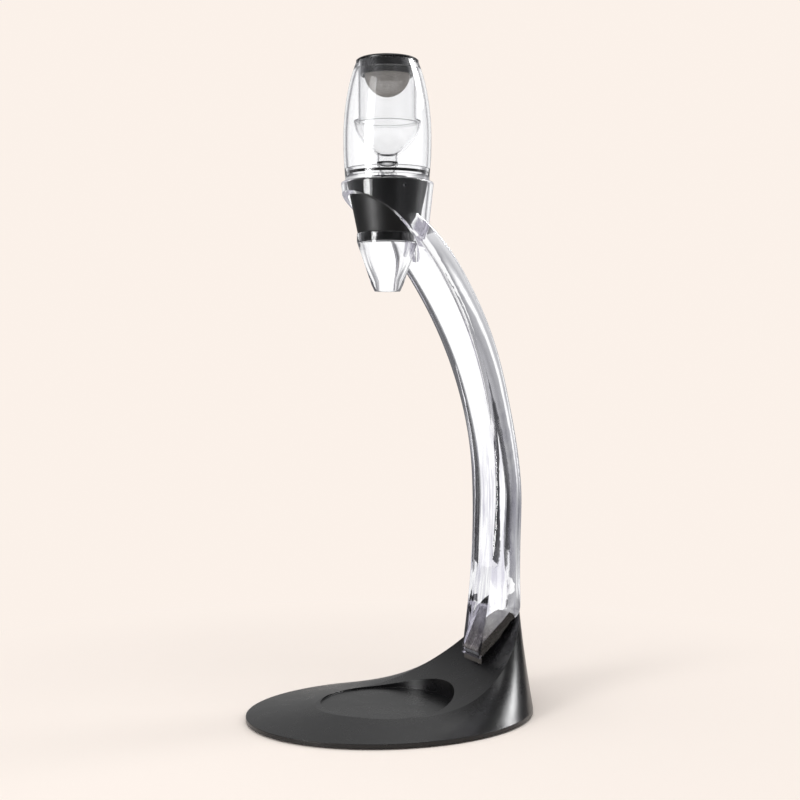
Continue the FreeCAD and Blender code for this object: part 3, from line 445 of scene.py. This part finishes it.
def wires(board, given, side):
    """One set of wires: laid flat side by side, waved over and under, then bent onto the bowl."""
    def pair(along, across):
        x, y = (along, across) if side > 0 else (across, along)
        return board.add("ShaderNodeCombineXYZ", {0: x, 1: y}).outputs[0]

    half = board.product(given["Pitch"], given["Wires Each Side"])
    back = board.product(half, -1.0)
    arc = board.product(board.math("ADD", given["Bowl Radius"], given["Bowl Depth"]), math.pi / 4)
    count = board.math("ADD", board.product(given["Wires Each Side"], 2.0), 1.0)
    points = board.math("ADD", board.product(given["Wires Each Side"], 4.0), 1.0)
    row = board.add("MeshLine", {"Count": count, "Start Location": pair(0.0, back),
                                 "Offset": pair(0.0, given["Pitch"])}, mode="OFFSET")
    wire = board.add("CurvePrimitiveLine", {"Start": pair(back, 0.0), "End": pair(half, 0.0)})
    fine = board.add("ResampleCurve", {"Curve": wire.outputs[0], "Count": points})
    laid = board.add("InstanceOnPoints", {"Points": row.outputs[0], "Instance": fine.outputs[0]})
    flat = board.add("RealizeInstances", {0: laid.outputs[0]})
    place = board.add("ShaderNodeSeparateXYZ", {0: board.add("InputPosition").outputs[0]}).outputs
    x, y = place[0], place[1]
    reach = board.math("SQRT", board.math("ADD", board.product(x, x), board.product(y, y)))
    reach = board.math("MAXIMUM", reach, BOWL_CENTRE_REACH)
    turn = board.product(board.math("MINIMUM", board.math("DIVIDE", reach, arc), 1.0), math.pi / 2)
    waves = [board.math("COSINE", board.product(board.math("DIVIDE", part, given["Pitch"]), math.pi))
             for part in (x, y)]
    wave = board.product(board.product(*waves), board.product(given["Wave"], side))
    sunk = board.math("SUBTRACT", wave, board.math("ADD", given["Wave"], given["Wire Radius"]))
    radius = board.product(board.math("ADD", given["Bowl Radius"], sunk), board.math("SINE", turn))
    low = board.product(board.math("ADD", given["Bowl Depth"], sunk), board.math("COSINE", turn))
    past = board.math("MAXIMUM", board.math("SUBTRACT", reach, arc), 0.0)
    draw = board.math("DIVIDE", radius, reach)
    there = board.add("ShaderNodeCombineXYZ", {0: board.product(x, draw), 1: board.product(y, draw),
                                               2: board.math("SUBTRACT", past, low)})
    outside = board.math("GREATER_THAN", past, given["Band"])
    cut = board.add("DeleteGeometry", {0: flat.outputs[0], 1: outside}, domain="POINT")
    bent = board.add("SetPosition", {0: cut.outputs[0], 2: there.outputs[0]})
    ring = board.add("CurvePrimitiveCircle", {"Resolution": WIRE_SIDES, "Radius": given["Wire Radius"]})
    return board.add("CurveToMesh", {0: bent.outputs[0], "Profile Curve": ring.outputs[0],
                                     "Fill Caps": True}).outputs[0]


def woven_bowl():
    """Two crossing sets of wires, woven over and under, laid on a rounded bowl with an upright band."""
    tree = bpy.data.node_groups.new("woven_bowl", "GeometryNodeTree")
    inputs = {"Pitch": "Float", "Wires Each Side": "Int", "Wire Radius": "Float", "Wave": "Float",
              "Bowl Radius": "Float", "Bowl Depth": "Float", "Band": "Float", "Centre": "Vector",
              "Steel": "Material"}
    for name, kind in inputs.items():
        tree.interface.new_socket(name=name, in_out="INPUT", socket_type="NodeSocket" + kind)
    tree.interface.new_socket(name="Geometry", in_out="OUTPUT", socket_type="NodeSocketGeometry")
    board = Board(tree, "GeometryNode")
    given = board.add("NodeGroupInput").outputs
    joined = board.add("JoinGeometry")
    for side in (1.0, -1.0):
        board.put(joined, 0, wires(board, given, side))
    moved = board.add("Transform", {"Geometry": joined.outputs[0], "Translation": given["Centre"]})
    whole = board.add("RealizeInstances", {0: moved.outputs[0]})
    coated = board.add("SetMaterial", {0: whole.outputs[0], "Material": given["Steel"]})
    board.put(board.add("NodeGroupOutput"), 0, coated.outputs[0])
    return tree


def woven_strainer(material):
    """Woven wire bowl of the strainer, as one plain mesh."""
    holder = bpy.data.objects.new("woven_strainer", bpy.data.meshes.new("weave"))
    bpy.context.scene.collection.objects.link(holder)
    weave = holder.modifiers.new("weave", "NODES")
    weave.node_group = woven_bowl()
    top = MESH_HIGH.z - BOWL_BAND - WIRE_RADIUS
    values = {"Pitch": WIRE_PITCH * MM, "Wires Each Side": WIRES_EACH_SIDE, "Wire Radius": WIRE_RADIUS * MM,
              "Wave": WIRE_WAVE * MM, "Bowl Radius": MESH_BOWL_RADIUS * MM,
              "Bowl Depth": (top - MESH_LOW.z) * MM, "Band": BOWL_BAND * MM,
              "Centre": (0.0, AXIS_Y * MM, top * MM), "Steel": material}
    for item in weave.node_group.interface.items_tree:
        if item.in_out == "INPUT":
            weave[item.identifier] = values[item.name]
    ready = holder.evaluated_get(bpy.context.evaluated_depsgraph_get())
    mesh = bpy.data.meshes.new_from_object(ready)
    holder.modifiers.clear()
    holder.data = mesh
    mesh.shade_smooth()
    return holder


def strainer_hem():
    """Flat steel hem that holds the ends of the wires under the rim."""
    top, inside = MESH_HIGH.z, MESH_BOWL_RADIUS - HEM_THICKNESS
    return turned("strainer_hem", [
        (inside, top - HEM_HEIGHT), (MESH_BOWL_RADIUS, top - HEM_HEIGHT),
        (MESH_BOWL_RADIUS, top - HEM_THICKNESS), (MESH_HIGH.x, top - HEM_THICKNESS), (MESH_HIGH.x, top),
        (inside, top)], HEM_ROUNDING)


def finished(piece, material, body, slot, *nodes):
    """Puts a made piece on its body in place of the plain ones."""
    piece.data.materials.clear()
    piece.data.materials.append(material)
    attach(piece, body)
    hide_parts(*nodes)


CREAM = (0.968, 0.882, 0.818)
WHITE = (1.0, 1.0, 1.0)

# Table, in metres
TABLE_RADIUS = 0.45
TABLE_FADE_START, TABLE_FADE_END = 0.14, 0.9 * TABLE_RADIUS
TABLE_ROUGHNESS = 0.9
TABLE_SEEN_THROUGH = 1.05

# How light the room is by azimuth: its walls, their low part, and what lies close round the foot
ROOM_WALL = [(-180, 0.85), (-172, 0.4), (-160, 0.22), (-150, 0.35), (-140, 0.45), (-128, 0.35), (-112, 0.25),
             (-90, 0.25), (-72, 0.6), (-50, 0.2), (-35, 0.04), (-5, 0.04), (8, 0.3), (20, 0.12), (60, 0.12),
             (70, 0.6), (84, 0.85), (92, 0.3), (110, 0.2), (120, 0.55), (130, 1.0), (174, 1.0), (180, 0.9)]
ROOM_LOW = [(-180, 0.8), (-163, 0.45), (-158, 0.6), (-155, 1.0), (-150, 1.0), (-146, 0.42), (-130, 0.3),
            (-120, 0.35), (-100, 0.5), (-80, 0.45), (-60, 0.1), (-35, 0.05), (0, 0.1), (30, 0.15), (50, 0.6),
            (66, 1.0), (150, 1.0), (180, 0.9)]
ROOM_DEEP = [(-180, 0.9), (-165, 0.6), (-155, 0.3), (-140, 0.25), (-120, 0.3), (-80, 0.2), (-20, 0.08),
             (30, 0.2), (60, 0.8), (150, 0.9), (180, 0.9)]
CEILING_LEVEL = 0.75
CEILING_START, CEILING_END = 25.0, 50.0
LOW_START, LOW_END = -4.0, -11.0
DEEP_START, DEEP_END = -24.0, -31.0
GREY_TINT = (0.93, 0.93, 1.0)
REFLECTED_SHARE = 0.4
SEEN_THROUGH_SHARE = 1.22
ROOM_GLOW = 0.54
LIGHT_INSIDE = 0.95

# Bright screens as glossy pieces show them: azimuth, half its width, low and high edge, level
SCREENS = [(-77, 7.5, -14, 12, 16.0), (86, 11, 26, 37, 20.0), (153, 1.5, 35, 42, 1.2)]
SCREEN_EDGE = 3.0

# Softboxes: name, azimuth, height angle, distance, width, height, power, and what it is turned to
TOWER_MIDDLE = Vector((0, 0, 0.22))
TABLE_MIDDLE = Vector((0, 0, 0))
SOFTBOXES = [("left_softbox", -70, 19, 1.35, 0.46, 1.1, 8, TOWER_MIDDLE),
             ("back_right_softbox", 87, 32, 1.25, 0.3, 0.42, 3, TOWER_MIDDLE),
             ("top_softbox", -25, 80, 1.2, 0.8, 0.8, 4.5, TABLE_MIDDLE)]

# Camera
CAMERA_PLACE = Vector((787.63, -361.72, 221.36)) * MM
CAMERA_SIDE = Vector((0.906, -0.423, 0.0))
CAMERA_PITCH = math.radians(0.7347)
CAMERA_LENS = 63.739
CAMERA_SENSOR = 36.0
CAMERA_SHIFT = -0.035


def table():
    """Pale round table that fades into the backdrop; clear pieces show it as plain light."""
    bpy.ops.mesh.primitive_circle_add(vertices=96, radius=TABLE_RADIUS, fill_type="NGON")
    floor = bpy.context.object
    floor.name = "table"
    material = bpy.data.materials.new("pale_table")
    material.use_nodes = True
    board = Board(material.node_tree)
    shader = board.tree.nodes["Principled BSDF"]
    shader.inputs["Base Color"].default_value = (*CREAM, 1)
    shader.inputs["Roughness"].default_value = TABLE_ROUGHNESS
    shader.inputs["Specular IOR Level"].default_value = 0.0
    glow = board.add("Emission", {"Color": (*CREAM, 1), "Strength": 1.0}).outputs[0]
    through = board.add("Emission", {"Color": (*WHITE, 1), "Strength": TABLE_SEEN_THROUGH}).outputs[0]
    place = board.add("TexCoord").outputs["Object"]
    far = board.add("VectorMath", {0: place}, operation="LENGTH").outputs["Value"]
    seen = board.either(board.smoothed(far, TABLE_FADE_START, TABLE_FADE_END), shader.outputs[0], glow)
    whole = board.either(board.add("LightPath").outputs["Is Transmission Ray"], seen, through)
    board.put(board.tree.nodes["Material Output"], "Surface", whole)
    floor.data.materials.append(material)


def room_colour(board, turn, rise):
    """The light and dark walls, ceiling and low parts of the studio, by direction."""
    rows = []
    for levels in (ROOM_WALL, ROOM_LOW, ROOM_DEEP):
        ramp = board.add("ValToRGB", {"Fac": board.ranged(turn, -180.0, 180.0)})
        stops = ramp.color_ramp.elements
        while len(stops) > 1:
            stops.remove(stops[-1])
        for i, (azimuth, level) in enumerate(levels):
            stop = stops[0] if i == 0 else stops.new((azimuth + 180) / 360)
            stop.position = (azimuth + 180) / 360
            stop.color = (*[level * (1 - (1 - level) * (1 - tint)) for tint in GREY_TINT], 1)
        rows.append(ramp.outputs["Color"])
    colour = board.blend(board.smoothed(rise, LOW_START, LOW_END), rows[0], rows[1])
    colour = board.blend(board.smoothed(rise, DEEP_START, DEEP_END), colour, rows[2])
    return board.blend(board.smoothed(rise, CEILING_START, CEILING_END), colour,
                       (CEILING_LEVEL, CEILING_LEVEL, CEILING_LEVEL, 1))


def window_light(board, turn, rise):
    """How bright the bright screens of the studio are in one direction."""
    total = 0.0
    for azimuth, half, low, high, level in SCREENS:
        aside = board.math("ABSOLUTE", board.math("SUBTRACT", turn, float(azimuth)))
        across = board.ranged(aside, half, half + SCREEN_EDGE, level, 0.0)
        over = board.ranged(rise, low - SCREEN_EDGE, low)
        under = board.ranged(rise, high, high + SCREEN_EDGE, 1.0, 0.0)
        total = board.math("ADD", total, board.product(across, board.product(over, under)))
    return total


def surroundings():
    """Cream backdrop and even light, with the room that glossy and clear pieces show."""
    world = bpy.data.worlds.new("studio")
    bpy.context.scene.world = world
    world.use_nodes = True
    board = Board(world.node_tree)
    ray = board.add("LightPath").outputs
    way = board.add("SeparateXYZ", {0: board.add("TexCoord").outputs["Generated"]}).outputs
    turn = board.math("DEGREES", board.math("ARCTAN2", way["Y"], way["X"]))
    rise = board.math("DEGREES", board.math("ARCSINE", way["Z"]))
    walls = room_colour(board, turn, rise)

    def shown(colour, strength):
        return board.add("Background", {"Color": colour, "Strength": strength}).outputs[0]

    white = (*WHITE, 1)
    reflected = board.add("AddShader", {0: shown(walls, REFLECTED_SHARE),
                                        1: shown(white, window_light(board, turn, rise))}).outputs[0]
    lit = board.math("GREATER_THAN", ray["Diffuse Depth"], 0.5)
    through = board.either(lit, shown(walls, SEEN_THROUGH_SHARE), shown(white, LIGHT_INSIDE))
    fill = board.tree.nodes["Background"]
    fill.inputs["Color"].default_value = white
    fill.inputs["Strength"].default_value = ROOM_GLOW
    light = board.either(ray["Is Glossy Ray"], fill.outputs[0], reflected)
    light = board.either(ray["Is Transmission Ray"], light, through)
    light = board.either(ray["Is Camera Ray"], light, shown((*CREAM, 1), 1.0))
    board.put(board.tree.nodes["World Output"], "Surface", light)


def lamps():
    """Soft lamps round the tower; clear pieces mirror them but don't show them from behind."""
    for name, azimuth, rise, away, width, height, power, target in SOFTBOXES:
        lamp = bpy.data.lights.new(name, "AREA")
        lamp.shape = "RECTANGLE"
        lamp.size, lamp.size_y = width, height
        lamp.energy = power
        holder = bpy.data.objects.new(name, lamp)
        holder.visible_transmission = False
        flat = math.cos(math.radians(rise))
        way = Vector((flat * math.cos(math.radians(azimuth)), flat * math.sin(math.radians(azimuth)),
                      math.sin(math.radians(rise))))
        holder.location = TOWER_MIDDLE + way * away
        holder.rotation_euler = (target - holder.location).to_track_quat("-Z", "Y").to_euler()
        bpy.context.scene.collection.objects.link(holder)


def camera():
    """The camera of the photograph: from the front and a little to the right, nearly level."""
    lens = bpy.data.cameras.new("camera")
    lens.lens = CAMERA_LENS
    lens.sensor_width = CAMERA_SENSOR
    lens.shift_y = CAMERA_SHIFT
    holder = bpy.data.objects.new("camera", lens)
    holder.location = CAMERA_PLACE
    ahead = -CAMERA_SIDE.normalized() * math.cos(CAMERA_PITCH) - Vector((0, 0, math.sin(CAMERA_PITCH)))
    holder.rotation_euler = ahead.to_track_quat("-Z", "Y").to_euler()
    bpy.context.scene.collection.objects.link(holder)
    bpy.context.scene.camera = holder


def finishes():
    """One finish for each kind of material the tower has."""
    return {
        "base_black": black_moulding("charcoal_moulding", (0.0035, 0.0033, 0.0038), (0.007, 0.0068, 0.0074),
                                     0.24, 0.3, 2.6, 0.012, edge=0.5, gloss=0.42),
        "cover_black": black_moulding("cover_moulding", (0.012, 0.012, 0.012), (0.022, 0.022, 0.022),
                                      0.45, 0.6, 1.6, 0.03),
        "cap_black": black_moulding("cap_moulding", (0.004, 0.004, 0.0045), (0.008, 0.008, 0.0085),
                                    0.2, 0.3, 3.5, 0.006, gloss=0.4),
        "grip_black": black_moulding("soft_touch_skin", (0.004, 0.004, 0.0045), (0.008, 0.008, 0.0085),
                                     0.36, 0.46, 4.0, 0.015, gloss=0.45),
        "seal_black": black_moulding("seal_rubber", (0.005, 0.005, 0.005), (0.012, 0.012, 0.012),
                                     0.5, 0.65, 3.0, 0.02, edge=0.15, gloss=0.3),
        "foot_rubber": black_moulding("foot_rubber", (0.014, 0.014, 0.013), (0.03, 0.03, 0.028),
                                      0.6, 0.8, 2.2, 0.04, edge=0.2, gloss=0.3),
        "mesh_steel": steel("wire_steel", (0.8, 0.74, 0.69), (0.98, 0.94, 0.89),
                            0.2, 0.34, (3.0, 3.0, 3.0), 0.01, metallic=0.1),
        "plate_steel": steel("plate_steel", (0.3, 0.3, 0.3), (0.5, 0.49, 0.48),
                             0.3, 0.5, (0.3, 9.0, 9.0), 0.02),
        "screw_steel": steel("screw_steel", (0.45, 0.45, 0.45), (0.7, 0.69, 0.67),
                             0.2, 0.4, (6.0, 6.0, 1.5), 0.01),
        "anchor_steel": steel("zinc_plate", (0.012, 0.011, 0.012), (0.5, 0.46, 0.47),
                              0.16, 0.34, (0.9, 0.04, 0.04), 0.03, metallic=0.3),
        # Clear pieces: own tint, the darker tint painted as shade in the low streaks, ripple direction and
        # depth, and the share of painted glow
        "arm_clear": clear_moulding("arm_clear", (0.995, 0.995, 0.998), (0.62, 0.61, 0.68),
                                    (0.05, 0.05, 0.012), 0.25, 0.42),
        "bulb_clear": clear_moulding("bulb_clear", (0.985, 0.985, 0.99), (0.97, 0.97, 0.98),
                                     (0.06, 0.06, 0.03), 0.06, 0.05),
        "inner_clear": clear_moulding("chamber_clear", (0.985, 0.985, 0.985), (0.97, 0.97, 0.97),
                                      (0.09, 0.09, 0.06), 0.05, 0.05),
        "nozzle_clear": clear_moulding("spout_clear", (0.985, 0.985, 0.99), (0.97, 0.97, 0.98),
                                       (0.12, 0.12, 0.1), 0.08, 0.1),
    }


def main():
    by_slot = finishes()
    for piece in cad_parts.values():
        for slot in piece.material_slots:
            slot.material = by_slot[slot.material.name.split(".")[0]]
    wire = by_slot["mesh_steel"]
    finished(outer_shell(), by_slot["bulb_clear"], "aerator", "bulb_clear", "outer_shell")
    finished(inner_chamber(), by_slot["inner_clear"], "aerator", "inner_clear", "inner_chamber")
    finished(nozzle(), by_slot["nozzle_clear"], "aerator", "nozzle_clear", "nozzle")
    finished(woven_strainer(wire), wire, "strainer", "mesh_steel", "strainer_mesh")
    finished(strainer_hem(), wire, "strainer", "mesh_steel", "strainer_mesh")
    table()
    surroundings()
    lamps()
    camera()
    bpy.context.scene.view_settings.view_transform = "Standard"


main()
